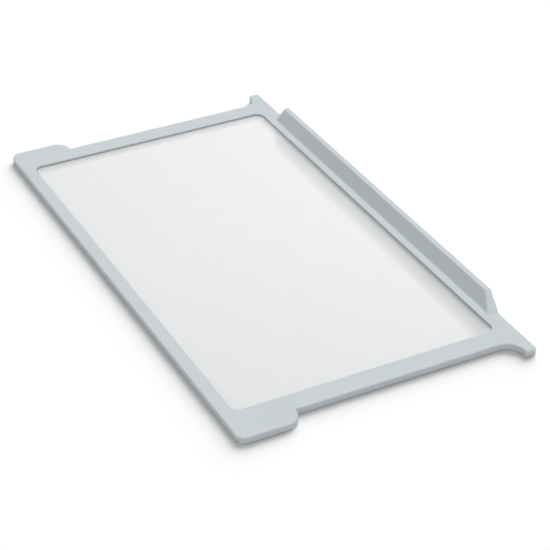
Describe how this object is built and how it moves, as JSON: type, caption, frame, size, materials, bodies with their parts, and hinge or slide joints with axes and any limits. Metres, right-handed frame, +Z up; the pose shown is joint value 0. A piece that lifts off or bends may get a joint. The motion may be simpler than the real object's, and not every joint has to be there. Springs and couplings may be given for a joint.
{
  "type": "fridge glass shelf",
  "caption": "Flat refrigerator shelf: a clear glass pane held in a moulded plastic frame with front support tabs, rear hook ears and a low guard wall along the back.",
  "frame": {"origin": "under the middle of the shelf, on the plane that the frame's underside stands on", "axes": "+Z up, -Y towards the front edge that faces the user, +X to the user's right"},
  "size_m": [0.5068, 0.2706, 0.0244],
  "materials": {
    "clear_glass": "polished tempered glass, faintly green in its thickness",
    "pale_grey_plastic": "fine matt moulded surface, pale cool grey"
  },
  "bodies": {
    "root": {"glass_pane": "clear_glass", "moulded_frame": "pale_grey_plastic"}
  },
  "joints": []
}
